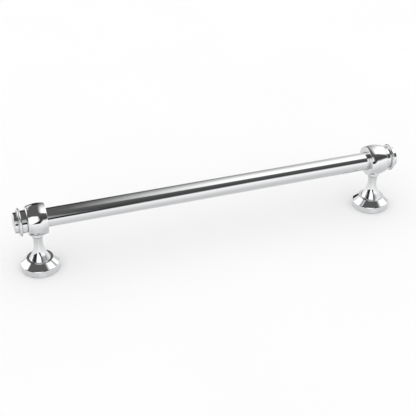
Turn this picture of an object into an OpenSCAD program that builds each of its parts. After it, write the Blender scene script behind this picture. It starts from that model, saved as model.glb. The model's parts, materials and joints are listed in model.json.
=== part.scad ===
// Chrome wall grab bar: a straight round tube carried by two turned posts.
// The wall plane is z = 0 and the bar runs along X. The origin lies on the wall, midway between
// the posts. The side of the bar that faces the floor when it is hung is +Y.

/* [Grip tube] */
// Outside diameter of the tube that the hand holds
tube_d = 32; // [25:1:32]
// Wall thickness of the tube
tube_wall = 1.5; // [1.2:0.1:2.5]
// Distance between the two post axes
post_distance = 610; // [300:10:1000]
// Height of the tube's axis above the wall
axis_height = 95; // [92:1:105]

/* [Collar] */
// Largest radius of the barrel-shaped collar
collar_mid_r = 27.5; // [26:0.5:29]
// Radius of the collar's face towards the middle of the bar
collar_inner_r = 26; // [23:0.5:26.5]
// Radius of the collar's face towards the finial
collar_outer_r = 25; // [23:0.5:26]
// Distance from the post axis to the collar's widest place, towards the middle of the bar
collar_crest = 3; // [0:0.5:5]
// Distance from the post axis to the collar's inner face
collar_inner_reach = 17; // [15:0.5:20]
// Distance from the post axis to the collar's outer face
collar_outer_reach = 15.5; // [15:0.5:20]

/* [Finial] */
// Radius of the finial's neck
finial_neck_r = 19; // [16:0.1:19.5]
// Length of the finial's neck
finial_neck_length = 8.5; // [6.5:0.5:10]
// Radius of the finial's disc
disc_r = 23.7; // [22:0.1:24]
// Thickness of the finial's disc
disc_thick = 4.7; // [4:0.1:6]
// Radius of the narrow step between the disc and the end cap
step_r = 20; // [19:0.5:20.5]
// Length of the narrow step
step_length = 1; // [0.5:0.1:1.5]
// Radius of the finial's end cap
cap_r = 17.5; // [15:0.5:18.5]
// Length of the end cap's straight side
cap_length = 6.2; // [4.5:0.1:7]
// Height of the end cap's low dome
dome_height = 1.8; // [1:0.1:3]

/* [Post] */
// Smallest radius of the trumpet-shaped post
neck_r = 7.7; // [7.5:0.1:8.2]
// Height of the narrowest place above the wall
neck_height = 50; // [48:1:51]
// Angle between the trumpet's cone and the post's axis
flare_angle = 28.5; // [26:0.5:29]
// Radius of the trumpet's foot, where it stands on the hub's flat face
foot_r = 17.4; // [17.2:0.1:18.5]
// Radius of the post where it meets the neck ring
post_top_r = 9; // [8.5:0.1:9.5]
// Radius of the hub that the cover slides on
hub_r = 21; // [20.5:0.1:23]
// Radius of the ring between the post and the collar
ring_r = 10.6; // [10:0.1:11]
// Height of the ring between the post and the collar
ring_height = 7; // [5:0.5:8]

/* [Rose] */
// Radius of the conical cover that lies on the wall
rose_r = 32.5; // [32:0.5:36]
// Height at which the cover's upright side would meet its cone
rose_rim_height = 11; // [9:0.5:12]
// Height of the cover
rose_height = 19.6; // [18:0.1:21]
// Wall thickness of the cover
rose_wall = 1.2; // [1:0.1:1.5]

/* [Wall bracket] */
// Radius of the disc that is screwed to the wall
bracket_r = 28; // [27:0.5:29]
// Thickness of the disc
bracket_thick = 5; // [4:0.5:5]
// Radius of the boss that the post sits on
boss_r = 13.5; // [13:0.5:14]
// Diameter of the circle that the screw holes lie on
screw_circle_d = 42; // [41:1:43]
// Diameter of a screw hole
screw_hole_d = 5.5; // [4.5:0.5:5.5]

/* [Hidden] */
$fn = 96;

chrome = [0.86, 0.87, 0.89];
steel = [0.62, 0.62, 0.64];
nylon = [0.90, 0.90, 0.86];
rubber = [0.08, 0.08, 0.08];

// Gap between parts that stay put, and gap round parts that turn or slide
still_gap = 0.02;
running_gap = 0.05;
// Length that a cut runs on past the face it opens
past = 1;

// Tube and collar
tube_r = tube_d / 2;
tube_bore_r = tube_r - tube_wall;
end_wall = 4;
socket_end = collar_outer_reach - end_wall;
tube_face = socket_end - running_gap;
inner_round = 1;
outer_round = 3;
barrel_steps = 16;

// Threads: outside radii of the M10 and M8 studs and of the M6 grub screws
m10_r = 5;
m8_r = 4;
m6_r = 3;
stud_end_gap = 1;
plug_length = 24;
stud_in_plug = 16;
stud_in_finial = 12;
post_stud_in_collar = 7;
post_stud_in_post = 22;
hex_r = 1.75;
hex_depth = 3;
grub_length = 8;
grub_point = 1.6;

// Finial
finial_face = collar_outer_reach + still_gap;
washer_r = 13;
washer_thick = 0.8;
disc_round = min(disc_thick / 2 - 0.1, disc_r - step_r - 0.4);
cap_round = 1.5;
dome_steps = 10;

// Post: the neck ring sits in a spot face that just takes the ring's outside
ring_seat = axis_height - sqrt(pow(collar_mid_r, 2) - pow(ring_r, 2));
ring_bottom = ring_seat - ring_height;
flare_steps = 24;
seam_gap = 0.3;
flare_foot = rose_height + seam_gap;
foot_round = 1;
foot_round_r = foot_r + foot_round * (1 - sin(flare_angle)) / cos(flare_angle);
flare_round = ((neck_height - flare_foot) * tan(flare_angle) - (foot_r - neck_r))
    / (sin(flare_angle) * tan(flare_angle) - (1 - cos(flare_angle)));

// Bracket and the groove that the hub's grub screw bites into
boss_height = 12;
boss_top = bracket_thick + boss_height;
lock_height = bracket_thick + boss_height / 2;
lock_depth = 1.4;
lock_half = m6_r - grub_point + 0.1;

// Rose and its O-ring
land_r = hub_r + running_gap;
land_height = 4.5;
lip_r = land_r + rose_wall;
rim_round = 2.5;
o_ring_section = 0.85;
o_ring_height = rose_height - land_height / 2;
cone_angle = atan2(rose_height - rose_rim_height, rose_r - lip_r);

// Points of an elliptical arc about (cx, cy), from angle a0 to angle a1
function arc(cx, cy, rx, ry, a0, a1, n) =
    [for (i = [0:n]) let (a = a0 + (a1 - a0) * i / n) [cx + rx * cos(a), cy + ry * sin(a)]];

// Turns a profile of [radius, distance along +X] points about the tube's axis
module turned_on_bar(points) {
    translate([0, 0, axis_height])
        rotate([0, 90, 0])
            rotate_extrude()
                polygon(points);
}

// Rod of radius r on the tube's axis, from x to x + length
module bar_rod(x, length, r) {
    translate([x, 0, axis_height])
        rotate([0, 90, 0])
            cylinder(h = length, r = r);
}

// Places a part, drawn with the post's axis at x = 0 and the bar's end towards +X, at its post
module at_right() {
    translate([post_distance / 2, 0, 0])
        children();
}

module at_left() {
    translate([-post_distance / 2, 0, 0])
        mirror([1, 0, 0])
            children();
}

module grip_tube() {
    half = post_distance / 2 + tube_face;
    color(chrome)
        difference() {
            bar_rod(-half, 2 * half, tube_r);
            bar_rod(-half - past, 2 * (half + past), tube_bore_r);
        }
}

// Turned plug pressed into the tube's end and tapped for the finial's stud
module tube_plug() {
    color(steel)
        difference() {
            bar_rod(tube_face - plug_length, plug_length, tube_bore_r - still_gap);
            bar_rod(tube_face - stud_in_plug - stud_end_gap, stud_in_plug + stud_end_gap + past,
                    m10_r + still_gap);
        }
}

// Threaded stud that stays in the plug and carries the finial
module finial_stud() {
    stud_start = tube_face - stud_in_plug;
    stud_end = finial_face + stud_in_finial;
    color(steel)
        difference() {
            bar_rod(stud_start, stud_end - stud_start, m10_r);
            translate([stud_end - hex_depth, 0, axis_height])
                rotate([0, 90, 0])
                    cylinder(h = hex_depth + past, r = hex_r, $fn = 6);
        }
}

// Washer in the finial's end face, which keeps the finial from working loose
module finial_washer() {
    color(nylon)
        difference() {
            bar_rod(finial_face, washer_thick, washer_r);
            bar_rod(finial_face - past, washer_thick + 2 * past, m10_r + running_gap);
        }
}

// Finial in one turned piece: neck, disc, narrow step, end cap with a low dome
module finial() {
    disc_start = finial_face + finial_neck_length;
    disc_end = disc_start + disc_thick;
    cap_start = disc_end + step_length;
    cap_end = cap_start + cap_length;
    dome_r = cap_r - cap_round;
    washer_space = 0.02;
    color(chrome)
        difference() {
            turned_on_bar(concat(
                [[0, finial_face], [finial_neck_r, finial_face], [finial_neck_r, disc_start]],
                arc(disc_r - disc_round, disc_start + disc_round, disc_round, disc_round,
                    -90, 0, 6),
                arc(disc_r - disc_round, disc_end - disc_round, disc_round, disc_round,
                    0, 90, 6),
                [[step_r, disc_end], [step_r, cap_start], [cap_r, cap_start]],
                arc(dome_r, cap_end - cap_round, cap_round, cap_round, 0, 90, 6),
                [for (i = [1:dome_steps])
                    let (q = 1 - i / dome_steps)
                    [dome_r * q, cap_end + dome_height * (1 - q * q)]]
            ));
            bar_rod(finial_face - past, washer_thick + washer_space + past,
                    washer_r + running_gap);
            bar_rod(finial_face, stud_in_finial + stud_end_gap, m10_r + running_gap);
        }
}

// Radius of the collar's barrel at x, between its two rounded ends
function barrel_r(x) =
    let (
        inner = x < -collar_crest,
        end_x = inner ? inner_round - collar_inner_reach : collar_outer_reach - outer_round,
        drop = collar_mid_r - (inner ? collar_inner_r : collar_outer_r)
    )
    collar_mid_r - drop * pow((x + collar_crest) / (end_x + collar_crest), 2);

// Barrel-shaped collar: a socket for the tube, an end wall for the finial's stud, a spot face
// and blind hole for the post, and a hole for the grub screw that bears on the tube
module collar() {
    barrel_start = inner_round - collar_inner_reach;
    barrel_end = collar_outer_reach - outer_round;
    color(chrome)
        difference() {
            turned_on_bar(concat(
                [[0, -collar_inner_reach]],
                arc(collar_inner_r - inner_round, barrel_start, inner_round, inner_round,
                    -90, 0, 6),
                [for (i = [1:barrel_steps - 1])
                    let (x = barrel_start + (barrel_end - barrel_start) * i / barrel_steps)
                    [barrel_r(x), x]],
                arc(collar_outer_r - outer_round, barrel_end, outer_round, outer_round,
                    0, 90, 6),
                [[0, collar_outer_reach]]
            ));
            bar_rod(-collar_inner_reach - past, collar_inner_reach + past + socket_end,
                    tube_r + running_gap);
            bar_rod(0, collar_outer_reach + past, m10_r + running_gap);
            translate([0, 0, ring_seat - collar_mid_r])
                cylinder(h = collar_mid_r, r = ring_r + still_gap);
            translate([0, 0, ring_seat - past])
                cylinder(h = past + post_stud_in_collar + stud_end_gap, r = m8_r + still_gap);
            translate([0, 0, axis_height])
                rotate([-90, 0, 0])
                    cylinder(h = collar_mid_r + past, r = m6_r + running_gap);
        }
}

// Ring with a rounded outside between the post and the collar
module neck_ring() {
    half = (ring_height - still_gap) / 2;
    bulge = ring_r - post_top_r;
    color(chrome)
        translate([0, 0, ring_bottom])
            difference() {
                rotate_extrude()
                    polygon(concat(
                        [[0, 0]],
                        arc(ring_r - bulge, half, bulge, half, -90, 90, 12),
                        [[0, 2 * half]]
                    ));
                translate([0, 0, -past])
                    cylinder(h = ring_height + 2 * past, r = m8_r + still_gap);
            }
}

// Stud that holds the post and the neck ring to the collar
module post_stud() {
    color(steel)
        translate([0, 0, ring_bottom - post_stud_in_post])
            cylinder(h = post_stud_in_post + ring_height + post_stud_in_collar, r = m8_r);
}

// Trumpet-shaped post on the flat top of a hub that fits over the bracket's boss
module post() {
    post_top = ring_bottom - still_gap;
    color(chrome)
        difference() {
            rotate_extrude()
                polygon(concat(
                    [[0, bracket_thick + still_gap], [hub_r, bracket_thick + still_gap]],
                    [[hub_r, flare_foot]],
                    arc(foot_round_r, flare_foot + foot_round, foot_round, foot_round,
                        270, 180 + flare_angle, 6),
                    arc(neck_r + flare_round, neck_height, flare_round, flare_round,
                        180 + flare_angle, 180, flare_steps),
                    [for (q = [0.25:0.25:1])
                        [neck_r + (post_top_r - neck_r) * q * q,
                         neck_height + (post_top - neck_height) * q]],
                    [[0, post_top]]
                ));
            translate([0, 0, bracket_thick - past])
                cylinder(h = past + boss_height + still_gap, r = boss_r + still_gap);
            translate([0, 0, ring_bottom - post_stud_in_post - stud_end_gap])
                cylinder(h = post_stud_in_post + stud_end_gap + past, r = m8_r + still_gap);
            translate([0, 0, lock_height])
                rotate([-90, 0, 0])
                    cylinder(h = hub_r + past, r = m6_r + running_gap);
            o_ring_groove();
        }
}

// Groove in the hub that the O-ring lies in, a little taller than the O-ring
module o_ring_groove() {
    groove_height = 2.3 * o_ring_section;
    translate([0, 0, o_ring_height - groove_height / 2])
        difference() {
            cylinder(h = groove_height, r = hub_r + past);
            translate([0, 0, -past])
                cylinder(h = groove_height + 2 * past, r = hub_r - 2 * o_ring_section);
        }
}

// O-ring that grips the rose, so that it stays where it is pushed
module rose_o_ring() {
    color(rubber)
        translate([0, 0, o_ring_height])
            rotate_extrude()
                translate([hub_r - o_ring_section + still_gap, 0])
                    circle(r = o_ring_section, $fn = 32);
}

// Conical cover in one skin, with a short land that slides on the hub
module rose() {
    tangent = tan(45 - cone_angle / 2);
    inside_cone = rose_rim_height - rose_wall / cos(cone_angle);
    bottom_break = 0.4;
    lip_round = 0.4;
    color(chrome)
        rotate_extrude()
            polygon(concat(
                [[rose_r - rose_wall, 0], [rose_r - bottom_break, 0], [rose_r, bottom_break]],
                arc(rose_r - rim_round, rose_rim_height - rim_round * tangent,
                    rim_round, rim_round, 0, 90 - cone_angle, 8),
                arc(lip_r - lip_round, rose_height - lip_round, lip_round, lip_round,
                    90 - cone_angle, 90, 4),
                [[land_r, rose_height],
                 [land_r, rose_height - land_height],
                 [lip_r, rose_height - land_height],
                 [lip_r, inside_cone + (rose_r - lip_r) * tan(cone_angle)],
                 [rose_r - rose_wall, rose_rim_height - rose_wall * tangent]]
            ));
}

// Steel disc for three countersunk wall screws, with a grooved boss that the post fits over
module wall_bracket() {
    hole_r = screw_hole_d / 2;
    color(steel)
        difference() {
            union() {
                cylinder(h = bracket_thick, r = bracket_r);
                cylinder(h = boss_top, r = boss_r);
            }
            translate([0, 0, lock_height])
                rotate_extrude()
                    polygon([
                        [boss_r + past, -lock_half - lock_depth - past],
                        [boss_r - lock_depth, -lock_half],
                        [boss_r - lock_depth, lock_half],
                        [boss_r + past, lock_half + lock_depth + past]
                    ]);
            for (i = [0:2])
                rotate([0, 0, 90 + 120 * i])
                    translate([screw_circle_d / 2, 0, 0]) {
                        translate([0, 0, -past])
                            cylinder(h = bracket_thick + 2 * past, r = hole_r);
                        translate([0, 0, bracket_thick - hole_r])
                            cylinder(h = hole_r + past, r1 = hole_r, r2 = 2 * hole_r + past);
                    }
        }
}

// M6 grub screw along +Y: its point is at y = point_y, and its head has a hexagon socket
module grub_screw(point_y, z) {
    color(steel)
        translate([0, point_y, z])
            rotate([-90, 0, 0])
                difference() {
                    union() {
                        cylinder(h = grub_point, r1 = m6_r - grub_point, r2 = m6_r);
                        translate([0, 0, grub_point])
                            cylinder(h = grub_length - grub_point, r = m6_r);
                    }
                    translate([0, 0, grub_length - hex_depth])
                        cylinder(h = hex_depth + past, r = hex_r, $fn = 6);
                }
}

module collar_grub_screw() {
    grub_screw(tube_r + still_gap, axis_height);
}

module hub_grub_screw() {
    grub_screw(boss_r - lock_depth + still_gap, lock_height);
}

grip_tube();
at_left() tube_plug();  // left_tube_plug
at_left() finial_stud();  // left_finial_stud
at_left() finial_washer();  // left_finial_washer
at_left() finial();  // left_finial
at_left() collar();  // left_collar
at_left() collar_grub_screw();  // left_collar_grub_screw
at_left() neck_ring();  // left_neck_ring
at_left() post_stud();  // left_post_stud
at_left() post();  // left_post
at_left() hub_grub_screw();  // left_hub_grub_screw
at_left() rose_o_ring();  // left_rose_o_ring
at_left() rose();  // left_rose
at_left() wall_bracket();  // left_wall_bracket
at_right() tube_plug();  // right_tube_plug
at_right() finial_stud();  // right_finial_stud
at_right() finial_washer();  // right_finial_washer
at_right() finial();  // right_finial
at_right() collar();  // right_collar
at_right() collar_grub_screw();  // right_collar_grub_screw
at_right() neck_ring();  // right_neck_ring
at_right() post_stud();  // right_post_stud
at_right() post();  // right_post
at_right() hub_grub_screw();  // right_hub_grub_screw
at_right() rose_o_ring();  // right_rose_o_ring
at_right() rose();  // right_rose
at_right() wall_bracket();  // right_wall_bracket
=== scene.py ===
import json
import math

import bmesh
import bpy
import numpy as np
from mathutils import Matrix, Vector


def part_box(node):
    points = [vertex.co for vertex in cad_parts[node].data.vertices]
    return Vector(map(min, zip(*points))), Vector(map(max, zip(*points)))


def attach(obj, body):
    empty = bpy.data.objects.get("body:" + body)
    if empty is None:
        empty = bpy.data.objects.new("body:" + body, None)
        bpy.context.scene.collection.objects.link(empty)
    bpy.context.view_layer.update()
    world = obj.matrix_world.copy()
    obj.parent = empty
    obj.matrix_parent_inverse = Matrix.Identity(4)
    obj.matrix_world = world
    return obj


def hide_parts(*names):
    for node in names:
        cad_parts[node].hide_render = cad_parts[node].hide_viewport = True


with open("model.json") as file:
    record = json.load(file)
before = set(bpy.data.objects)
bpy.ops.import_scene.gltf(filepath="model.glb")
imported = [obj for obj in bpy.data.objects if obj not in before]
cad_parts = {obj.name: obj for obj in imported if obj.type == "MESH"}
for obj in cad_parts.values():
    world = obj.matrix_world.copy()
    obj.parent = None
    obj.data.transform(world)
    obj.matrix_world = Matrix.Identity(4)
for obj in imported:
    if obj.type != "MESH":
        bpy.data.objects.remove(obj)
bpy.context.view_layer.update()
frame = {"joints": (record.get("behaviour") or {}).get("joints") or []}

# Chrome grab bar. The CAD frame gives every place. The turned parts are built again here as fine
# lathe meshes with rounded edges and exact normals, because chrome shows every facet.
# Lengths named below are in millimetres and are turned into metres by MM when a mesh is made.
# Distances along a post run up from the wall, and along the bar outwards from the post's axis.

MM = 0.001


# ---------------------------------------------------------------- sizes from the frame

def box_mm(node):
    low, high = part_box(node)
    return low / MM, high / MM


def joint_place(name):
    for joint in frame["joints"]:
        if joint["name"] == name:
            return Vector(joint["pos_m"]) / MM
    raise ValueError(f"no joint named {name}")


PIVOT = joint_place("right_post_swivel")
POST_X = PIVOT.x
AXIS_Z = PIVOT.z


def reach(node):
    """Where a right-hand bar part starts and ends, outwards from the post's axis."""
    low, high = box_mm(node)
    return low.x - POST_X, high.x - POST_X


def bar_r(node):
    """Largest radius about the bar's axis that stays inside the node's box."""
    high = box_mm(node)[1]
    return min(high.y, high.z - AXIS_Z)


def post_r(node):
    """Largest radius about the right post's axis that stays inside the node's box."""
    high = box_mm(node)[1]
    return min(high.y, high.x - POST_X)


TUBE_R = bar_r("grip_tube")
TUBE_WALL = 1.5
TUBE_FACE = reach("grip_tube")[1]

COLLAR_BACK, COLLAR_FACE = reach("right_collar")
COLLAR_MID_R = bar_r("right_collar")
COLLAR_INNER_R = COLLAR_MID_R - 1.5
COLLAR_OUTER_R = COLLAR_MID_R - 2.5
INNER_ROUND = 1.0
OUTER_ROUND = 3.0
COLLAR_CREST = -3.0
END_WALL = 4.0
COLLAR_STUD_HOLE = 8.0

FINIAL_FACE, FINIAL_TIP = reach("right_finial")
FINIAL_NECK_R = 19.0
FINIAL_NECK = 8.5
DISC_R = bar_r("right_finial")
DISC_THICK = 4.7
DISC_ROUND = 2.25
STEP_R = 20.0
STEP = 1.0
CAP_R = 17.5
CAP_ROUND = 1.5
DOME = 1.8
FINIAL_HOLE = 13.0
WASHER_R = bar_r("right_finial_washer")
WASHER_THICK = 0.8
PLUG_HOLE = 17.0

RING_BOTTOM, RING_TOP = (corner.z for corner in box_mm("right_neck_ring"))
RING_R = post_r("right_neck_ring")

HUB_R = post_r("right_post")
POST_FOOT, POST_TOP = (corner.z for corner in box_mm("right_post"))
POST_TOP_R = 9.0
NECK_R = 7.7
NECK_Z = 50.0
POST_BEVEL = 0.3
FLARE_ANGLE = 28.5
FOOT_R = 17.4
FOOT_ROUND = 1.0
GROOVE_DEPTH = 1.7
GROOVE_HALF = 0.98

ROSE_R = post_r("right_rose")
ROSE_HEIGHT = box_mm("right_rose")[1].z
ROSE_RIM = 11.0
ROSE_WALL = 1.2
LAND_R = HUB_R + 0.05
LAND = 4.5
SEAM = 0.3

BRACKET_R = post_r("right_wall_bracket")
BOSS_TOP = box_mm("right_wall_bracket")[1].z
BOSS_R = 13.5
BRACKET_THICK = 5.0
SCREW_CIRCLE_R = 21.0
SCREW_HOLE_R = 2.75
LOCK_Z = BRACKET_THICK + 6.0
LOCK_DEPTH = 1.4

M10_R = bar_r("right_finial_stud")
M8_R = post_r("right_post_stud")
M6_R = 3.0
GRUB_POINT = 1.6
HEX_R = 1.75
HEX_DEPTH = 3.0
RUNNING_GAP = 0.05
FIXED_GAP = 0.02
CUT_OVER = 4.0

TURN_STEPS = 144
HOLE_STEPS = 64


# ---------------------------------------------------------------- places of the turned parts

class Spindle:
    """An axis that parts are turned about: point(r, s, angle) is in metres in the row frame."""

    def __init__(self, origin, along, first, second):
        self.origin = Vector(origin)
        self.along = Vector(along)
        self.first = Vector(first)
        self.second = Vector(second)

    def point(self, r, s, angle):
        out = self.first * math.cos(angle) + self.second * math.sin(angle)
        return (self.origin + self.along * s + out * r) * MM


def bar_spindle(side):
    return Spindle((side * POST_X, 0, AXIS_Z), (side, 0, 0), (0, 1, 0), (0, 0, 1))


def post_spindle(side):
    return Spindle((side * POST_X, 0, 0), (0, 0, 1), (side, 0, 0), (0, 1, 0))


def radial_spindle(side, z):
    """An axis square to a post through its centre line, for the grub screws and their holes."""
    return Spindle((side * POST_X, 0, z), (0, 1, 0), (1, 0, 0), (0, 0, 1))


# ---------------------------------------------------------------- outlines

def rounded(corners, closed, steps=7):
    """Outline through (r, s) or (r, s, rounding) corners; each rounding becomes a tangent arc."""
    points = []
    count = len(corners)
    for i, corner in enumerate(corners):
        here = np.array(corner[:2], float)
        rounding = corner[2] if len(corner) > 2 else 0.0
        at_end = not closed and i in (0, count - 1)
        if rounding <= 0 or at_end:
            points.append(here)
            continue
        before = np.array(corners[i - 1][:2], float)
        after = np.array(corners[(i + 1) % count][:2], float)
        a = (before - here) / np.linalg.norm(before - here)
        b = (after - here) / np.linalg.norm(after - here)
        half = math.acos(max(-1.0, min(1.0, float(a @ b)))) / 2
        room = rounding / math.tan(half)
        centre = here + (a + b) / np.linalg.norm(a + b) * rounding / math.sin(half)
        start = here + a * room - centre
        end = here + b * room - centre
        angle = math.atan2(start[0] * end[1] - start[1] * end[0], float(start @ end))
        for k in range(steps + 1):
            t = angle * k / steps
            turn = np.array([[math.cos(t), -math.sin(t)], [math.sin(t), math.cos(t)]])
            points.append(centre + turn @ start)
    return [tuple(p) for p in points]


def ellipse(r0, s0, half_r, half_s, a0, a1, steps):
    """Points on an ellipse about (r0, s0), from angle a0 to a1 in degrees."""
    angles = [math.radians(a0 + (a1 - a0) * k / steps) for k in range(steps + 1)]
    return [(r0 + half_r * math.cos(a), s0 + half_s * math.sin(a)) for a in angles]


def segment_normals(outline, closed):
    """Unit normals of the outline's segments, and the segments' start and end points."""
    start = np.array(outline, float)
    end = np.roll(start, -1, axis=0)
    if not closed:
        start, end = start[:-1], end[:-1]
    run = end - start
    length = np.linalg.norm(run, axis=1)
    normal = np.stack([run[:, 1], -run[:, 0]], 1) / length[:, None]
    return start, end, normal, length


SHARP = math.cos(math.radians(24))


def corner_normals(outline, closed):
    """Per segment, the normals at its start and end: shared over soft corners, split at sharp ones."""
    start, end, normal, length = segment_normals(outline, closed)
    count = len(normal)
    at_start, at_end = normal.copy(), normal.copy()
    for i in range(count):
        j = (i + 1) % count
        if j == 0 and not closed:
            continue
        if normal[i] @ normal[j] > SHARP:
            soft = normal[i] * length[i] + normal[j] * length[j]
            soft /= np.linalg.norm(soft)
            at_end[i] = soft
            at_start[j] = soft
    on_axis = 1e-6
    if not closed and start[0][0] < on_axis:
        at_start[0] = (0, math.copysign(1, normal[0][1]))
    if not closed and end[-1][0] < on_axis:
        at_end[-1] = (0, math.copysign(1, normal[-1][1]))
    return start, end, normal, at_start, at_end


# ---------------------------------------------------------------- meshes

def new_object(name, points, faces):
    mesh = bpy.data.meshes.new(name)
    mesh.from_pydata([tuple(p) for p in points], [], faces)
    mesh.update()
    piece = bpy.data.objects.new(name, mesh)
    bpy.context.scene.collection.objects.link(piece)
    return piece


def tidy_mesh(piece, merge=1e-7):
    """Joins doubled points, drops faces with no area and turns every face outwards."""
    bm = bmesh.new()
    bm.from_mesh(piece.data)
    bmesh.ops.remove_doubles(bm, verts=bm.verts, dist=merge)
    bmesh.ops.dissolve_degenerate(bm, dist=merge, edges=bm.edges)
    bmesh.ops.recalc_face_normals(bm, faces=bm.faces)
    bm.to_mesh(piece.data)
    bm.free()


def lathe(name, spindle, outline, closed, steps=TURN_STEPS):
    """Solid of revolution of an outline. An open outline starts and ends on the axis."""
    points, faces, rings = [], [], []
    for r, s in outline:
        if r < 1e-6:
            rings.append([len(points)] * steps)
            points.append(spindle.point(0, s, 0))
            continue
        rings.append(list(range(len(points), len(points) + steps)))
        points += [spindle.point(r, s, 2 * math.pi * k / steps) for k in range(steps)]
    pairs = list(zip(rings[:-1], rings[1:]))
    if closed:
        pairs.append((rings[-1], rings[0]))
    for low, high in pairs:
        for k in range(steps):
            n = (k + 1) % steps
            corners = [low[k], low[n], high[n], high[k]]
            face = [c for i, c in enumerate(corners) if c != corners[i - 1]]
            if len(face) > 2:
                faces.append(face)
    piece = new_object(name, points, faces)
    tidy_mesh(piece)
    return piece


def drop(thing):
    data = thing.data
    bpy.data.objects.remove(thing)
    bpy.data.meshes.remove(data)


def cut(piece, *cutters):
    """Cuts the cutters out of a piece and removes them."""
    for cutter in cutters:
        modifier = piece.modifiers.new("cut", "BOOLEAN")
        modifier.operation = "DIFFERENCE"
        modifier.solver = "EXACT"
        modifier.object = cutter
    graph = bpy.context.evaluated_depsgraph_get()
    mesh = bpy.data.meshes.new_from_object(piece.evaluated_get(graph))
    mesh.name = piece.name
    piece.modifiers.clear()
    old = piece.data
    piece.data = mesh
    bpy.data.meshes.remove(old)
    for cutter in cutters:
        drop(cutter)
    tidy_mesh(piece, 1e-6)


def radial_frame(points, spindle):
    """Place along the axis, distance from it and unit vector away from it, for many points."""
    axis = np.array(spindle.along)
    spokes = np.stack([np.array(spindle.first), np.array(spindle.second)])
    from_origin = points / MM - np.array(spindle.origin)
    s = from_origin @ axis
    out = from_origin @ spokes.T
    r = np.linalg.norm(out, axis=1)
    unit = out / np.maximum(r, 1e-9)[:, None]
    return s, r, unit @ spokes


def mesh_array(items, name, size):
    values = np.empty(len(items) * size)
    items.foreach_get(name, values)
    return values.reshape(-1, size)


def smooth(piece, spindle=None, outline=None, closed=False):
    """Smooth shading. Faces on the turned surface get the outline's own normals, so that they
    reflect like a true surface of revolution; faces of cuts are smoothed by angle."""
    mesh = piece.data
    mesh.polygons.foreach_set("use_smooth", [True] * len(mesh.polygons))
    mesh.set_sharp_from_angle(angle=math.radians(30))
    mesh.update()
    if spindle is None:
        return
    start, end, normal, at_start, at_end = corner_normals(outline, closed)
    run = end - start
    run2 = (run ** 2).sum(1)
    axis = np.array(spindle.along)
    on_surface, same_way = 0.06, math.cos(math.radians(25))

    s, r, unit = radial_frame(mesh_array(mesh.polygons, "center", 3), spindle)
    facing = mesh_array(mesh.polygons, "normal", 3)
    flat = np.stack([(facing * unit).sum(1), facing @ axis], 1)
    here = np.stack([r, s], 1)[:, None, :]
    share = np.clip(((here - start) * run).sum(2) / run2, 0, 1)
    away = np.linalg.norm(start + run * share[:, :, None] - here, axis=2)
    match = flat @ normal.T
    away[np.abs(match) < same_way] = 1e9
    nearest = away.argmin(1)
    rows = np.arange(len(nearest))
    turned = (away[rows, nearest] < on_surface) & (r > 1e-4)
    sign = np.where(match[rows, nearest] < 0, -1.0, 1.0)

    sizes = mesh_array(mesh.polygons, "loop_total", 1)[:, 0].astype(int)
    owner = np.repeat(rows, sizes)
    corner = mesh_array(mesh.loops, "vertex_index", 1)[:, 0].astype(int)
    places = mesh_array(mesh.vertices, "co", 3)[corner]
    ps, pr, pu = radial_frame(places, spindle)
    pu[pr < 1e-4] = unit[owner][pr < 1e-4]
    k = nearest[owner]
    q = (((np.stack([pr, ps], 1) - start[k]) * run[k]).sum(1) / run2[k]).clip(0, 1)[:, None]
    n = (at_start[k] * (1 - q) + at_end[k] * q) * sign[owner][:, None]
    n /= np.linalg.norm(n, axis=1)[:, None]
    loops = mesh_array(mesh.corner_normals, "vector", 3)
    on = turned[owner]
    loops[on] = (pu * n[:, :1] + axis * n[:, 1:])[on]
    mesh.normals_split_custom_set(loops.tolist())


def place(piece, node, body, material):
    """Gives a piece its material and makes it stand for a CAD node on that node's body."""
    piece.data.materials.clear()
    piece.data.materials.append(material)
    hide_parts(node)
    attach(piece, body)


def hex_prism(spindle, r, s0, s1):
    """Hexagonal cutter from s0 to s1 with a drilled point below s0."""
    drill_point = 1.0
    drill_r = 0.85 * r
    points = [spindle.point(0, s0 - drill_point, 0)]
    for radius, s in ((drill_r, s0), (r, s0), (r, s1)):
        points += [spindle.point(radius, s, math.pi / 3 * k) for k in range(6)]
    points.append(spindle.point(0, s1, 0))
    faces = [[0, 1 + (k + 1) % 6, 1 + k] for k in range(6)]
    for ring in range(2):
        a, b = 1 + 6 * ring, 7 + 6 * ring
        faces += [[a + k, a + (k + 1) % 6, b + (k + 1) % 6, b + k] for k in range(6)]
    top = len(points) - 1
    faces += [[13 + k, 13 + (k + 1) % 6, top] for k in range(6)]
    cutter = new_object("cutter", points, faces)
    tidy_mesh(cutter)
    return cutter


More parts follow.
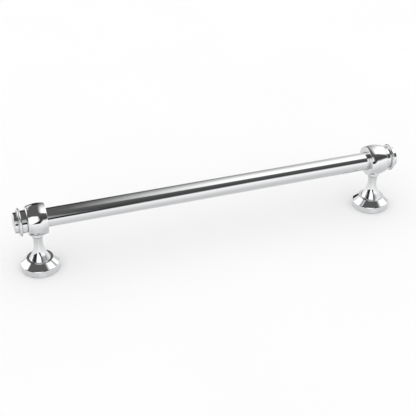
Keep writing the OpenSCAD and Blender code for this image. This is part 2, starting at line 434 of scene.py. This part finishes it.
def threaded_rod(name, spindle, radius, pitch, s0, s1, chamfer0, chamfer1, steps=48):
    """Rod with a real helical thread. chamfer0 and chamfer1 are the cones at its two ends."""
    depth = 0.6 * pitch
    # crest, end of crest, start of root, end of root, as shares of the pitch
    shape = [(0.0, 0.0), (0.125, 0.0), (0.44, 1.0), (0.69, 1.0)]
    turns = int(math.ceil((s1 - s0) / pitch)) + 2
    levels = len(shape)

    def deep(u):
        u = u % 1.0
        for (u0, d0), (u1, d1) in zip(shape, shape[1:] + [(1.0, 0.0)]):
            if u <= u1:
                return d0 + (d1 - d0) * (u - u0) / (u1 - u0)
        return 0.0

    points, faces = [], []
    rows = turns * levels
    for i in range(rows):
        base = (i // levels - 1) * pitch + shape[i % levels][0] * pitch
        for k in range(steps):
            s = s0 + min(s1 - s0, max(0.0, base + pitch * k / steps))
            share = (s - s0) / pitch - k / steps
            r = radius - depth * deep(share)
            r = min(r, radius - chamfer0 + (s - s0), radius - chamfer1 + (s1 - s))
            points.append(spindle.point(r, s, 2 * math.pi * k / steps))
    for i in range(rows - 1):
        for k in range(steps):
            if k < steps - 1:
                faces.append([i * steps + k, i * steps + k + 1,
                              (i + 1) * steps + k + 1, (i + 1) * steps + k])
            elif i + 1 + levels < rows:
                faces.append([i * steps + k, (i + levels) * steps,
                              (i + 1 + levels) * steps, (i + 1) * steps + k])
    rod = new_object(name, points, faces)
    tidy_mesh(rod, 1e-6)
    bm = bmesh.new()
    bm.from_mesh(rod.data)
    for edge in list(bm.edges):
        if edge.is_valid and edge.is_wire:
            bm.edges.remove(edge)
    open_edges = [e for e in bm.edges if e.is_boundary]
    bmesh.ops.holes_fill(bm, edges=open_edges, sides=0)
    bmesh.ops.recalc_face_normals(bm, faces=bm.faces)
    bm.to_mesh(rod.data)
    bm.free()
    return rod


# ---------------------------------------------------------------- node helpers

class Nodes:
    """Short way to build a node tree."""

    def __init__(self, tree):
        self.tree = tree
        tree.nodes.clear()

    def add(self, kind, inputs=None, **settings):
        node = self.tree.nodes.new(kind)
        for key, value in settings.items():
            setattr(node, key, value)
        for key, value in (inputs or {}).items():
            if isinstance(value, bpy.types.NodeSocket):
                self.tree.links.new(value, node.inputs[key])
            else:
                node.inputs[key].default_value = value
        return node

    def math(self, operation, a, b=0.0):
        return self.add("ShaderNodeMath", {0: a, 1: b}, operation=operation).outputs[0]

    def noise(self, vector, scale, detail=2.0, rough=0.5):
        node = self.add("ShaderNodeTexNoise", {"Vector": vector, "Scale": scale, "Detail": detail,
                                               "Roughness": rough})
        return node.outputs["Fac"]

    def span(self, value, low, high, to_low=0.0, to_high=1.0, smoothstep=False):
        kind = "SMOOTHSTEP" if smoothstep else "LINEAR"
        node = self.add("ShaderNodeMapRange",
                        {"Value": value, "From Min": low, "From Max": high,
                         "To Min": to_low, "To Max": to_high}, interpolation_type=kind)
        return node.outputs["Result"]


def mix_rgba(nodes, share, a, b):
    """Colour mix; the sockets of a Mix node share names, so they are picked by place."""
    node = nodes.tree.nodes.new("ShaderNodeMix")
    node.data_type = "RGBA"
    for index, value in ((0, share), (6, a), (7, b)):
        if isinstance(value, bpy.types.NodeSocket):
            nodes.tree.links.new(value, node.inputs[index])
        else:
            node.inputs[index].default_value = value
    return node.outputs[2]


def turned_vector(nodes, axis, around=60.0, along=4000.0):
    """Texture space in which noise becomes fine rings about the bar or the posts."""
    place_node = nodes.add("ShaderNodeTexCoord")
    split = nodes.add("ShaderNodeSeparateXYZ", {0: place_node.outputs["Object"]})
    x, y, z = split.outputs
    if axis == "bar":
        side = nodes.math("SUBTRACT", z, AXIS_Z * MM)
        length = x
    else:
        side = nodes.math("SUBTRACT", nodes.math("ABSOLUTE", x), POST_X * MM)
        length = z
    radius = nodes.math("SQRT", nodes.math("ADD", nodes.math("MULTIPLY", y, y),
                                           nodes.math("MULTIPLY", side, side)))
    rings = nodes.math("MULTIPLY", nodes.math("ADD", radius, length), along)
    vector = nodes.add("ShaderNodeCombineXYZ",
                       {0: rings, 1: nodes.math("MULTIPLY", y, around),
                        2: nodes.math("MULTIPLY", side, around)})
    return vector.outputs[0], place_node.outputs["Object"]


def surface(nodes, bump=None, distance=0.0, **inputs):
    """Principled shader with an optional bump, joined to the output."""
    shader = nodes.add("ShaderNodeBsdfPrincipled",
                       {key.replace("_", " "): value for key, value in inputs.items()})
    if bump is not None:
        node = nodes.add("ShaderNodeBump", {"Height": bump, "Distance": distance, "Strength": 1.0})
        nodes.tree.links.new(node.outputs[0], shader.inputs["Normal"])
    out = nodes.add("ShaderNodeOutputMaterial")
    nodes.tree.links.new(shader.outputs[0], out.inputs[0])


def material(name):
    made = bpy.data.materials.new(name)
    made.use_nodes = True
    return made, Nodes(made.node_tree)


# ---------------------------------------------------------------- materials

def chrome(axis):
    """Polished chrome plate: faint buffing rings, soft smears, ripple, and painted shade: the colour
    darkens in crevices and at joins, by ambient occlusion.
    """
    made, nodes = material(f"chrome_{axis}")
    rings, flat = turned_vector(nodes, axis)
    buffing = nodes.noise(rings, 1.0, 2.0, 0.6)
    smears = nodes.noise(flat, 38.0, 4.0, 0.62)
    specks = nodes.noise(flat, 900.0, 2.0, 0.5)
    ripple = nodes.noise(flat, 70.0, 1.0, 0.4)
    haze = nodes.math("MULTIPLY", nodes.span(smears, 0.45, 0.8), 0.05)
    lines = nodes.math("MULTIPLY", nodes.span(buffing, 0.35, 0.75), 0.02)
    rough = nodes.math("ADD", nodes.math("ADD", haze, lines), 0.022)
    clean = mix_rgba(nodes, nodes.span(specks, 0.3, 0.75), (0.67, 0.675, 0.685, 1),
                     (0.71, 0.714, 0.722, 1))
    # painted shade: ambient occlusion within 1.6 mm darkens the chrome's colour towards near black in
    # crevices and at joins between parts
    painted_crevice_shade = nodes.add("ShaderNodeAmbientOcclusion", {"Distance": 0.0016})
    painted_crevice_shade.samples = 4
    unshaded_share = nodes.span(painted_crevice_shade.outputs["AO"], 0.45, 0.8)
    colour = mix_rgba(nodes, unshaded_share, (0.16, 0.16, 0.165, 1), clean)
    height = nodes.math("ADD", nodes.math("MULTIPLY", ripple, 1.0),
                        nodes.math("MULTIPLY", buffing, 0.03))
    surface(nodes, height, 0.00003, Base_Color=colour, Metallic=1.0, Roughness=rough)
    return made


def turned_steel(name, axis, tint, base_rough):
    """Plain turned steel: tool rings, a satin sheen and slight stains."""
    made, nodes = material(name)
    rings, flat = turned_vector(nodes, axis, 30.0, 5000.0)
    tool = nodes.noise(rings, 1.0, 3.0, 0.65)
    stain = nodes.noise(flat, 55.0, 5.0, 0.65)
    colour = mix_rgba(nodes, nodes.span(stain, 0.35, 0.7), tuple(0.62 * c for c in tint) + (1,),
                      tuple(tint) + (1,))
    rough = nodes.math("ADD", nodes.math("MULTIPLY", tool, 0.22),
                       nodes.math("MULTIPLY", stain, 0.12))
    rough = nodes.math("ADD", rough, base_rough)
    surface(nodes, tool, 0.00002, Base_Color=colour, Metallic=1.0, Roughness=rough)
    return made


def nylon():
    """Natural nylon: warm white, faintly mottled, with a soft moulded sheen."""
    made, nodes = material("nylon")
    place_node = nodes.add("ShaderNodeTexCoord").outputs["Object"]
    mottle = nodes.noise(place_node, 260.0, 3.0, 0.6)
    grain = nodes.noise(place_node, 2600.0, 2.0, 0.5)
    colour = mix_rgba(nodes, mottle, (0.80, 0.79, 0.73, 1), (0.90, 0.895, 0.86, 1))
    surface(nodes, grain, 0.00003, Base_Color=colour,
            Roughness=nodes.span(grain, 0.2, 0.8, 0.38, 0.55), Subsurface_Weight=0.15,
            Subsurface_Radius=(0.004, 0.004, 0.003), Subsurface_Scale=0.3)
    return made


def rubber():
    """Black nitrile rubber: matt, with a moulding grain and a little dust in patches."""
    made, nodes = material("rubber")
    place_node = nodes.add("ShaderNodeTexCoord").outputs["Object"]
    grain = nodes.noise(place_node, 1800.0, 3.0, 0.6)
    dust = nodes.noise(place_node, 160.0, 4.0, 0.6)
    colour = mix_rgba(nodes, nodes.span(dust, 0.55, 0.8), (0.012, 0.012, 0.012, 1),
                      (0.035, 0.034, 0.032, 1))
    surface(nodes, grain, 0.00004, Base_Color=colour,
            Roughness=nodes.span(grain, 0.2, 0.8, 0.55, 0.75))
    return made


CHROME_BAR = chrome("bar")
CHROME_POST = chrome("post")
PLUG_STEEL = turned_steel("turned_steel", "bar", (0.62, 0.62, 0.64), 0.22)
THREAD_STEEL = turned_steel("threaded_steel", "bar", (0.50, 0.50, 0.53), 0.26)
BRACKET_STEEL = turned_steel("bracket_steel", "post", (0.66, 0.66, 0.68), 0.24)
NYLON = nylon()
RUBBER = rubber()


# ---------------------------------------------------------------- the bar

def build_tube():
    """Grip tube with deburred ends."""
    centre = Spindle((0, 0, AXIS_Z), (1, 0, 0), (0, 1, 0), (0, 0, 1))
    half = POST_X + TUBE_FACE
    bore = TUBE_R - TUBE_WALL
    shape = rounded([(TUBE_R, -half, 0.3), (TUBE_R, half, 0.3), (bore, half, 0.3),
                     (bore, -half, 0.3)], True, 3)
    piece = lathe("grip_tube_skin", centre, shape, True, steps=192)
    smooth(piece, centre, shape, True)
    place(piece, "grip_tube", "bar", CHROME_BAR)


def build_tube_plug(name, side):
    spindle = bar_spindle(side)
    start, end = reach("right_tube_plug")
    r = bar_r("right_tube_plug")
    hole = M10_R + FIXED_GAP
    lead_in = 0.7
    shape = rounded([(0, start), (r, start, 0.6), (r, end, 0.4), (hole + lead_in, end),
                     (hole, end - lead_in), (hole, end - PLUG_HOLE), (0, end - PLUG_HOLE)],
                    False, 4)
    piece = lathe(f"{name}_tube_plug_body", spindle, shape, False, steps=96)
    smooth(piece, spindle, shape)
    place(piece, f"{name}_tube_plug", "bar", PLUG_STEEL)


def build_finial_stud(name, side):
    spindle = bar_spindle(side)
    start, end = reach("right_finial_stud")
    rod = threaded_rod(f"{name}_finial_stud_thread", spindle, M10_R, 1.5, start, end, 0.9, 0.9)
    cut(rod, hex_prism(spindle, HEX_R * 1.4, end - HEX_DEPTH, end + 1))
    smooth(rod)
    place(rod, f"{name}_finial_stud", "bar", THREAD_STEEL)


def build_finial_washer(name, side):
    spindle = bar_spindle(side)
    start, end = reach("right_finial_washer")
    hole = M10_R + RUNNING_GAP
    shape = rounded([(hole, start, 0.1), (hole, end, 0.1), (WASHER_R, end, 0.15),
                     (WASHER_R, start, 0.15)], True, 3)
    piece = lathe(f"{name}_finial_washer_ring", spindle, shape, True, steps=96)
    smooth(piece, spindle, shape, True)
    place(piece, f"{name}_finial_washer", f"{name}_finial_seat", NYLON)


def build_finial(name, side):
    """Neck, disc, narrow step and domed cap in one piece, with the washer's recess and a hole."""
    spindle = bar_spindle(side)
    face = FINIAL_FACE
    disc = face + FINIAL_NECK
    disc_end = disc + DISC_THICK
    cap = disc_end + STEP
    cap_end = FINIAL_TIP - DOME
    hole = M10_R + RUNNING_GAP
    recess = WASHER_R + RUNNING_GAP
    recess_depth = WASHER_THICK + FIXED_GAP
    bottom = face + FINIAL_HOLE
    dome_r = CAP_R - CAP_ROUND
    dome = [(dome_r * q, cap_end + DOME * (1 - q * q)) for q in np.linspace(0.95, 0, 16)]
    shape = rounded([
        (0, bottom), (hole, bottom), (hole, face + recess_depth, 0.3),
        (recess, face + recess_depth), (recess, face, 0.15), (FINIAL_NECK_R, face, 0.35),
        (FINIAL_NECK_R, disc, 0.2), (DISC_R, disc, DISC_ROUND), (DISC_R, disc_end, DISC_ROUND),
        (STEP_R, disc_end, 0.2), (STEP_R, cap, 0.25), (CAP_R, cap, 0.25),
        (CAP_R, cap_end, CAP_ROUND), (dome_r - CAP_ROUND / 2, cap_end + 0.15),
    ], False, 8)[:-1] + dome[1:]
    piece = lathe(f"{name}_finial_turned", spindle, shape, False)
    smooth(piece, spindle, shape)
    place(piece, f"{name}_finial", f"{name}_finial", CHROME_BAR)


def screw_cutter(spindle, start, mouth):
    """Cutter for a grub screw's hole, from start out to its countersunk mouth."""
    r = M6_R + RUNNING_GAP
    sink = 0.6
    start, over = start - CUT_OVER, mouth + CUT_OVER
    return lathe("cutter", spindle, [(0, start), (r, start), (r, mouth - sink), (r + sink, mouth),
                                     (r + sink, over), (0, over)], False, steps=48)


def barrel(s):
    """Radius of the collar's barrel."""
    if s < COLLAR_CREST:
        end, drop_r = COLLAR_BACK + INNER_ROUND, COLLAR_MID_R - COLLAR_INNER_R
    else:
        end, drop_r = COLLAR_FACE - OUTER_ROUND, COLLAR_MID_R - COLLAR_OUTER_R
    return COLLAR_MID_R - drop_r * ((s - COLLAR_CREST) / (end - COLLAR_CREST)) ** 2


def build_collar(name, side):
    """Barrel collar, bored for the tube, and cut for the post and grub screw."""
    spindle = bar_spindle(side)
    bore = TUBE_R + RUNNING_GAP
    stud_hole = M10_R + RUNNING_GAP
    socket = COLLAR_FACE - END_WALL
    start, end = COLLAR_BACK + INNER_ROUND, COLLAR_FACE - OUTER_ROUND
    skirt = ellipse(COLLAR_INNER_R - INNER_ROUND, start, INNER_ROUND, INNER_ROUND, -90, 0, 8)
    belly = [(barrel(s), s) for s in np.linspace(start, end, 41)[1:-1]]
    brow = ellipse(COLLAR_OUTER_R - OUTER_ROUND, end, OUTER_ROUND, OUTER_ROUND, 0, 90, 14)
    inside = rounded([(stud_hole, COLLAR_FACE, 0.3), (stud_hole, socket, 0.3), (bore, socket, 0.2),
                      (bore, COLLAR_BACK, 0.2), (COLLAR_INNER_R - INNER_ROUND, COLLAR_BACK)],
                     False, 3)[:-1]
    shape = skirt + belly + brow + inside
    piece = lathe(f"{name}_collar_turned", spindle, shape, True)
    upright = post_spindle(side)
    seat_r = RING_R + FIXED_GAP
    seat_z = RING_TOP + FIXED_GAP
    below = AXIS_Z - 2 * COLLAR_MID_R
    seat = lathe("cutter", upright, rounded([(0, below), (seat_r, below), (seat_r, seat_z, 0.3),
                                             (0, seat_z)], False, 3), False, HOLE_STEPS)
    stud_r = M8_R + FIXED_GAP
    stud_end = RING_TOP + COLLAR_STUD_HOLE
    stud = lathe("cutter", upright, [(0, RING_TOP - CUT_OVER), (stud_r, RING_TOP - CUT_OVER),
                                     (stud_r, stud_end), (0, stud_end)], False, steps=48)
    screw = screw_cutter(radial_spindle(side, AXIS_Z), TUBE_R, COLLAR_MID_R)
    cut(piece, seat, stud, screw)
    smooth(piece, spindle, shape, True)
    place(piece, f"{name}_collar", f"{name}_post", CHROME_BAR)


# ---------------------------------------------------------------- the posts

def build_neck_ring(name, side):
    spindle = post_spindle(side)
    half = (RING_TOP - RING_BOTTOM) / 2
    bulge = RING_R - POST_TOP_R
    hole = M8_R + FIXED_GAP
    bead = ellipse(POST_TOP_R, RING_BOTTOM + half, bulge, half, -90, 90, 24)
    shape = bead + [(hole, RING_TOP), (hole, RING_BOTTOM)]
    piece = lathe(f"{name}_neck_ring_bead", spindle, shape, True)
    smooth(piece, spindle, shape, True)
    place(piece, f"{name}_neck_ring", f"{name}_post", CHROME_POST)


def build_post_stud(name, side):
    spindle = post_spindle(side)
    low, high = box_mm("right_post_stud")
    rod = threaded_rod(f"{name}_post_stud_thread", spindle, M8_R, 1.25, low.z, high.z, 0.7, 0.7,
                       steps=40)
    smooth(rod)
    place(rod, f"{name}_post_stud", f"{name}_post", THREAD_STEEL)


def post_flare(foot):
    """The post's outside from its foot up: a fillet, a straight-ended sweep and a slim neck."""
    sine, cosine = math.sin(math.radians(FLARE_ANGLE)), math.cos(math.radians(FLARE_ANGLE))
    slope = sine / cosine
    sweep = ((NECK_Z - foot) * slope - (FOOT_R - NECK_R)) / (sine * slope - (1 - cosine))
    fillet_r = FOOT_R + FOOT_ROUND * (1 - sine) / cosine
    fillet = ellipse(fillet_r, foot + FOOT_ROUND, FOOT_ROUND, FOOT_ROUND, 270, 180 + FLARE_ANGLE, 8)
    flare = ellipse(NECK_R + sweep, NECK_Z, sweep, sweep, 180 + FLARE_ANGLE, 180, 48)
    rise = POST_TOP - POST_BEVEL - NECK_Z
    neck = [(NECK_R + (POST_TOP_R - NECK_R) * q * q, NECK_Z + rise * q)
            for q in np.linspace(0, 1, 11)[1:]]
    return fillet + flare + neck


def build_post(name, side):
    """Trumpet post: flared foot, hub with the O-ring's groove, and a socket for the boss."""
    spindle = post_spindle(side)
    foot = ROSE_HEIGHT + SEAM
    groove_r = HUB_R - GROOVE_DEPTH
    groove_low = ROSE_HEIGHT - LAND / 2 - GROOVE_HALF
    groove_high = groove_low + 2 * GROOVE_HALF
    socket_r = BOSS_R + FIXED_GAP
    socket_top = BOSS_TOP + FIXED_GAP
    stud = M8_R + FIXED_GAP
    stud_bottom = box_mm("right_post_stud")[0].z - 1
    lead_in = 0.4
    inner = rounded([(0, socket_top), (socket_r, socket_top), (socket_r, POST_FOOT, 0.5),
                     (HUB_R, POST_FOOT, 0.5), (HUB_R, groove_low, 0.12), (groove_r, groove_low),
                     (groove_r, groove_high), (HUB_R, groove_high, 0.12), (HUB_R, foot - 0.25),
                     (HUB_R - 0.15, foot)], False, 4)
    crown = [(POST_TOP_R - 0.25, POST_TOP), (stud + lead_in, POST_TOP), (stud, POST_TOP - lead_in),
             (stud, stud_bottom), (0, stud_bottom)]
    shape = inner + post_flare(foot) + crown
    piece = lathe(f"{name}_post_turned", spindle, shape, False)
    cut(piece, screw_cutter(radial_spindle(side, LOCK_Z), BOSS_R, HUB_R))
    smooth(piece, spindle, shape)
    place(piece, f"{name}_post", f"{name}_post", CHROME_POST)


def build_rose(name, side):
    """Conical cover in one skin, with a rounded shoulder and a land that slides on the hub."""
    spindle = post_spindle(side)
    lip_r = LAND_R + ROSE_WALL
    slope = (ROSE_HEIGHT - ROSE_RIM) / (ROSE_R - lip_r)
    angle = math.atan(slope)
    inside = ROSE_RIM - ROSE_WALL / math.cos(angle)
    under = inside + (ROSE_R - lip_r) * slope
    shape = rounded([
        (ROSE_R - ROSE_WALL, 0, 0.2), (ROSE_R, 0, 0.5), (ROSE_R, ROSE_RIM, 2.5),
        (lip_r, ROSE_HEIGHT, 0.4), (LAND_R, ROSE_HEIGHT, 0.2), (LAND_R, ROSE_HEIGHT - LAND, 0.2),
        (lip_r, ROSE_HEIGHT - LAND, 0.2), (lip_r, under, 0.3),
        (ROSE_R - ROSE_WALL, ROSE_RIM - ROSE_WALL * math.tan(math.pi / 4 - angle / 2), 1.3),
    ], True, 10)
    piece = lathe(f"{name}_rose_spun", spindle, shape, True, steps=180)
    smooth(piece, spindle, shape, True)
    place(piece, f"{name}_rose", f"{name}_rose", CHROME_POST)


def build_o_ring(name, side):
    spindle = post_spindle(side)
    low, high = box_mm("right_rose_o_ring")
    section = (high.z - low.z) / 2
    centre_r = post_r("right_rose_o_ring") - section
    shape = ellipse(centre_r, (low.z + high.z) / 2, section, section, 0, 360, 24)[:-1]
    piece = lathe(f"{name}_rose_o_ring_moulded", spindle, shape, True, steps=120)
    smooth(piece, spindle, shape, True)
    place(piece, f"{name}_rose_o_ring", f"{name}_post", RUBBER)


def build_bracket(name, side):
    """Turned disc and boss with a locking groove, drilled and countersunk three times."""
    spindle = post_spindle(side)
    root = M6_R - GRUB_POINT + 0.1
    wide = root + LOCK_DEPTH
    shape = rounded([
        (0, 0), (BRACKET_R, 0, 0.4), (BRACKET_R, BRACKET_THICK, 0.8),
        (BOSS_R, BRACKET_THICK, 0.3), (BOSS_R, LOCK_Z - wide, 0.1),
        (BOSS_R - LOCK_DEPTH, LOCK_Z - root, 0.1), (BOSS_R - LOCK_DEPTH, LOCK_Z + root, 0.1),
        (BOSS_R, LOCK_Z + wide, 0.1), (BOSS_R, BOSS_TOP, 0.6), (0, BOSS_TOP),
    ], False, 4)
    piece = lathe(f"{name}_wall_bracket_turned", spindle, shape, False)
    cutters = []
    for k in range(3):
        angle = math.radians(90 + 120 * k)
        x = side * (POST_X + SCREW_CIRCLE_R * math.cos(angle))
        y = SCREW_CIRCLE_R * math.sin(angle)
        hole = Spindle((x, y, 0), (0, 0, 1), (1, 0, 0), (0, 1, 0))
        r = SCREW_HOLE_R
        burr = 0.3
        sink = BRACKET_THICK - r
        over = BRACKET_THICK + 1
        cutters.append(lathe("cutter", hole, [(0, -1), (r + burr, -1), (r + burr, 0), (r, burr),
                                              (r, sink), (2 * r, BRACKET_THICK), (2 * r, over),
                                              (0, over)], False, steps=48))
    cut(piece, *cutters)
    smooth(piece, spindle, shape)
    place(piece, f"{name}_wall_bracket", f"{name}_post", BRACKET_STEEL)


def build_grub_screw(name, side, node, body):
    """M6 grub screw with a thread, a cone point and a hexagon socket."""
    low, high = box_mm(f"right_{node}")
    spindle = radial_spindle(side, (low.z + high.z) / 2)
    rod = threaded_rod(f"{name}_{node}_thread", spindle, M6_R, 1.0, low.y, high.y, GRUB_POINT, 0.5,
                       steps=40)
    cut(rod, hex_prism(spindle, HEX_R, high.y - HEX_DEPTH, high.y + 1))
    smooth(rod)
    place(rod, f"{name}_{node}", f"{name}_{body}", THREAD_STEEL)


build_tube()
for end_name, end_side in (("left", -1), ("right", 1)):
    build_tube_plug(end_name, end_side)
    build_finial_stud(end_name, end_side)
    build_finial_washer(end_name, end_side)
    build_finial(end_name, end_side)
    build_collar(end_name, end_side)
    build_grub_screw(end_name, end_side, "collar_grub_screw", "collar_screw")
    build_neck_ring(end_name, end_side)
    build_post_stud(end_name, end_side)
    build_post(end_name, end_side)
    build_grub_screw(end_name, end_side, "hub_grub_screw", "hub_screw")
    build_o_ring(end_name, end_side)
    build_rose(end_name, end_side)
    build_bracket(end_name, end_side)


# ---------------------------------------------------------------- stage, light and camera

def build_floor():
    """Plain pale floor. In reflections it glows instead, as a painted reflection: slightly darker, with
    a painted sheen of the front box on it.
    """
    half = 6.0
    floor = new_object("floor", [(-half, -half, 0), (half, -half, 0), (half, half, 0),
                                 (-half, half, 0)], [[0, 1, 2, 3]])
    floor.location.z = -0.0005
    made, nodes = material("floor")
    place_node = nodes.add("ShaderNodeTexCoord").outputs["Object"]
    tone = nodes.span(nodes.noise(place_node, 3.0, 3.0, 0.5), 0.2, 0.8)
    colour = mix_rgba(nodes, tone, (0.955, 0.955, 0.955, 1), (0.97, 0.97, 0.97, 1))
    plain = nodes.add("ShaderNodeBsdfDiffuse", {"Color": colour, "Roughness": 0.5})
    toward = nodes.add("ShaderNodeNewGeometry").outputs["Incoming"]
    x, y, z = nodes.add("ShaderNodeSeparateXYZ", {0: toward}).outputs
    bearing = nodes.math("MULTIPLY", nodes.math("ARCTAN2", nodes.math("MULTIPLY", x, -1.0), y),
                         180 / math.pi)
    # painted reflection: glossy rays see a painted sheen of the front box on the floor, set by the
    # ray's bearing
    sheen = soft_box(nodes, 0.15, (bearing, -34, -14, 8, 30))
    # painted reflection tone: brighter for shallow rays, darker for rays that look steeply down
    painted_reflection_falloff = nodes.span(z, 0.0, 0.75, 1.26, 0.74)
    # the floor glows with this painted reflection for glossy rays, though it is no lamp
    sheen = nodes.add("ShaderNodeEmission", {"Strength": nodes.math("ADD", sheen, painted_reflection_falloff)})
    glossy = nodes.add("ShaderNodeLightPath").outputs["Is Glossy Ray"]
    mixed = nodes.add("ShaderNodeMixShader", {0: nodes.math("MULTIPLY", glossy, 0.75)})
    nodes.tree.links.new(plain.outputs[0], mixed.inputs[1])
    nodes.tree.links.new(sheen.outputs[0], mixed.inputs[2])
    out = nodes.add("ShaderNodeOutputMaterial")
    nodes.tree.links.new(mixed.outputs[0], out.inputs[0])
    floor.data.materials.append(made)


def soft_box(nodes, level, *edges):
    """A light of one level. Each edge is (value, low0, low1, high0, high1): the light comes up
    from low0 to low1 and goes out from high0 to high1; None leaves that edge open."""
    mask = level
    for value, low0, low1, high0, high1 in edges:
        if low0 is not None:
            mask = nodes.math("MULTIPLY", mask, nodes.span(value, low0, low1, smoothstep=True))
        if high0 is not None:
            fade = nodes.span(value, high0, high1, 1.0, 0.0, smoothstep=True)
            mask = nodes.math("MULTIPLY", mask, fade)
    return mask


def studio(nodes):
    """What the chrome reflects: white soft boxes in a dark room. bearing is measured round from
    the front towards +X, height up from the horizon, and pitch over the top from front to back."""
    direction = nodes.add("ShaderNodeTexCoord").outputs["Generated"]
    x, y, z = nodes.add("ShaderNodeSeparateXYZ", {0: direction}).outputs
    front = nodes.math("MULTIPLY", y, -1.0)
    degrees = 180 / math.pi
    bearing = nodes.math("MULTIPLY", nodes.math("ARCTAN2", x, front), degrees)
    pitch = nodes.math("MULTIPLY", nodes.math("ARCTAN2", z, front), degrees)
    height = nodes.math("MULTIPLY", nodes.math("ARCSINE", z), degrees)

    # big overhead box on the right; it dims towards the back, later so at the far right
    far_right = nodes.span(x, 0.35, 0.65, 0.0, 1.0)
    near_edge = nodes.math("SUBTRACT", nodes.math("ADD", pitch, nodes.math("MULTIPLY", far_right, 5.0)),
                           nodes.span(x, 0.08, 0.24, 9.0, 0.0))
    top = soft_box(nodes, 1.6, (x, 0.07, 0.33, None, None), (near_edge, 63, 75, None, None),
                   (height, 10, 21, None, None))
    dimming = nodes.math("SUBTRACT", pitch, nodes.math("MULTIPLY", far_right, 45.0))
    top = nodes.math("MULTIPLY", top, nodes.span(dimming, 96, 172, 1.0, 0.08))
    # tall box at the front left that stops short of the floor at its right
    lift = nodes.span(bearing, -22, 4, 0.0, 19.0)
    lean = nodes.math("SUBTRACT", x, nodes.span(height, 22, 42, 0.0, 0.24))
    tip = nodes.math("ADD", pitch, nodes.span(x, -0.3, 0.0, 0.0, 5.0))
    front_left = soft_box(nodes, 1.6, (lean, -0.80, -0.62, None, None), (bearing, None, None, -3, 12),
                          (tip, None, None, 50, 61),
                          (nodes.math("SUBTRACT", height, lift), -4, 3, None, None))
    # box at the back left, with a dimmer wing towards the middle
    back_left = soft_box(nodes, 1.6, (bearing, -158, -148, -107, -98), (height, None, None, 46, 58))
    slant = nodes.math("SUBTRACT", x, nodes.span(pitch, 130, 160, -0.32, 0.0))
    wing = soft_box(nodes, 1.0, (bearing, None, None, -120, -110), (slant, None, None, -0.06, 0.04),
                    (height, None, None, 44, 56), (pitch, None, None, 161, 169))
    # bright low wall at the front right, its top edge rising towards the right
    rise = nodes.math("ADD", nodes.span(x, 0.09, 0.31, 24.0, 0.0), nodes.span(x, 0.4, 0.9, 0.0, -6.5))
    low_wall = soft_box(nodes, 1.35, (nodes.math("ADD", pitch, rise), None, None, 8, 28),
                        (bearing, -4, 6, 70, 100))
    side_wall = soft_box(nodes, 0.85, (bearing, 62, 84, 150, 175), (height, None, None, 24, 40))
    back_wall = soft_box(nodes, 0.22, (pitch, 146, 160, None, None), (x, 0.16, 0.40, None, None))
    # the room itself, with black low at the front, at the far left and straight behind
    room = nodes.span(pitch, 40, 60, 0.085, 0.14)
    behind = soft_box(nodes, 0.93, (pitch, 146, 154, None, None), (x, None, None, 0.18, 0.34))
    ahead = soft_box(nodes, 0.78, (pitch, None, None, 18, 30), (x, None, None, 0.12, 0.25))
    far_left = soft_box(nodes, 0.6, (x, None, None, -0.85, -0.70), (pitch, None, None, 50, 70))
    black = nodes.math("MAXIMUM", behind, nodes.math("MAXIMUM", ahead, far_left))
    total = nodes.math("MULTIPLY", room, nodes.math("SUBTRACT", 1.0, black))
    for box in (top, front_left, back_left, wing, low_wall, side_wall, back_wall):
        total = nodes.math("MAXIMUM", box, total)
    return total


def studio_world():
    """Reflections see the studio; everything else is lit by a plain white dome."""
    world = bpy.data.worlds.new("studio")
    bpy.context.scene.world = world
    world.use_nodes = True
    nodes = Nodes(world.node_tree)
    seen = nodes.add("ShaderNodeLightPath").outputs
    glossy = seen["Is Glossy Ray"]
    level = nodes.math("ADD", nodes.math("MULTIPLY", glossy, studio(nodes)),
                       nodes.math("MULTIPLY", nodes.math("SUBTRACT", 1.0, glossy), 1.04))
    light = nodes.add("ShaderNodeBackground", {"Color": (1, 1, 1, 1), "Strength": level})
    out = nodes.add("ShaderNodeOutputWorld")
    world.node_tree.links.new(light.outputs[0], out.inputs[0])


def build_camera():
    """Long lens from the front left, looking down at the bar."""
    azimuth, elevation, roll = math.radians(-18.41), math.radians(33.16), math.radians(-0.02)
    distance, lens_share = 1.679, 2.3353
    target = Vector((-0.00948, 0, 0.05591))
    back = Vector((math.sin(azimuth) * math.cos(elevation),
                   -math.cos(azimuth) * math.cos(elevation), math.sin(elevation)))
    right = Vector((math.cos(azimuth), math.sin(azimuth), 0))
    up = back.cross(right)
    right, up = (right * math.cos(roll) + up * math.sin(roll),
                 up * math.cos(roll) - right * math.sin(roll))
    data = bpy.data.cameras.new("camera")
    data.sensor_width = 36
    data.lens = 36 * lens_share
    data.clip_start, data.clip_end = 0.05, 100
    camera = bpy.data.objects.new("camera", data)
    matrix = Matrix((right, up, back)).transposed().to_4x4()
    matrix.translation = target + back * distance
    camera.matrix_world = matrix
    bpy.context.scene.collection.objects.link(camera)
    bpy.context.scene.camera = camera


build_floor()
studio_world()
build_camera()
bpy.context.scene.view_settings.view_transform = "Standard"
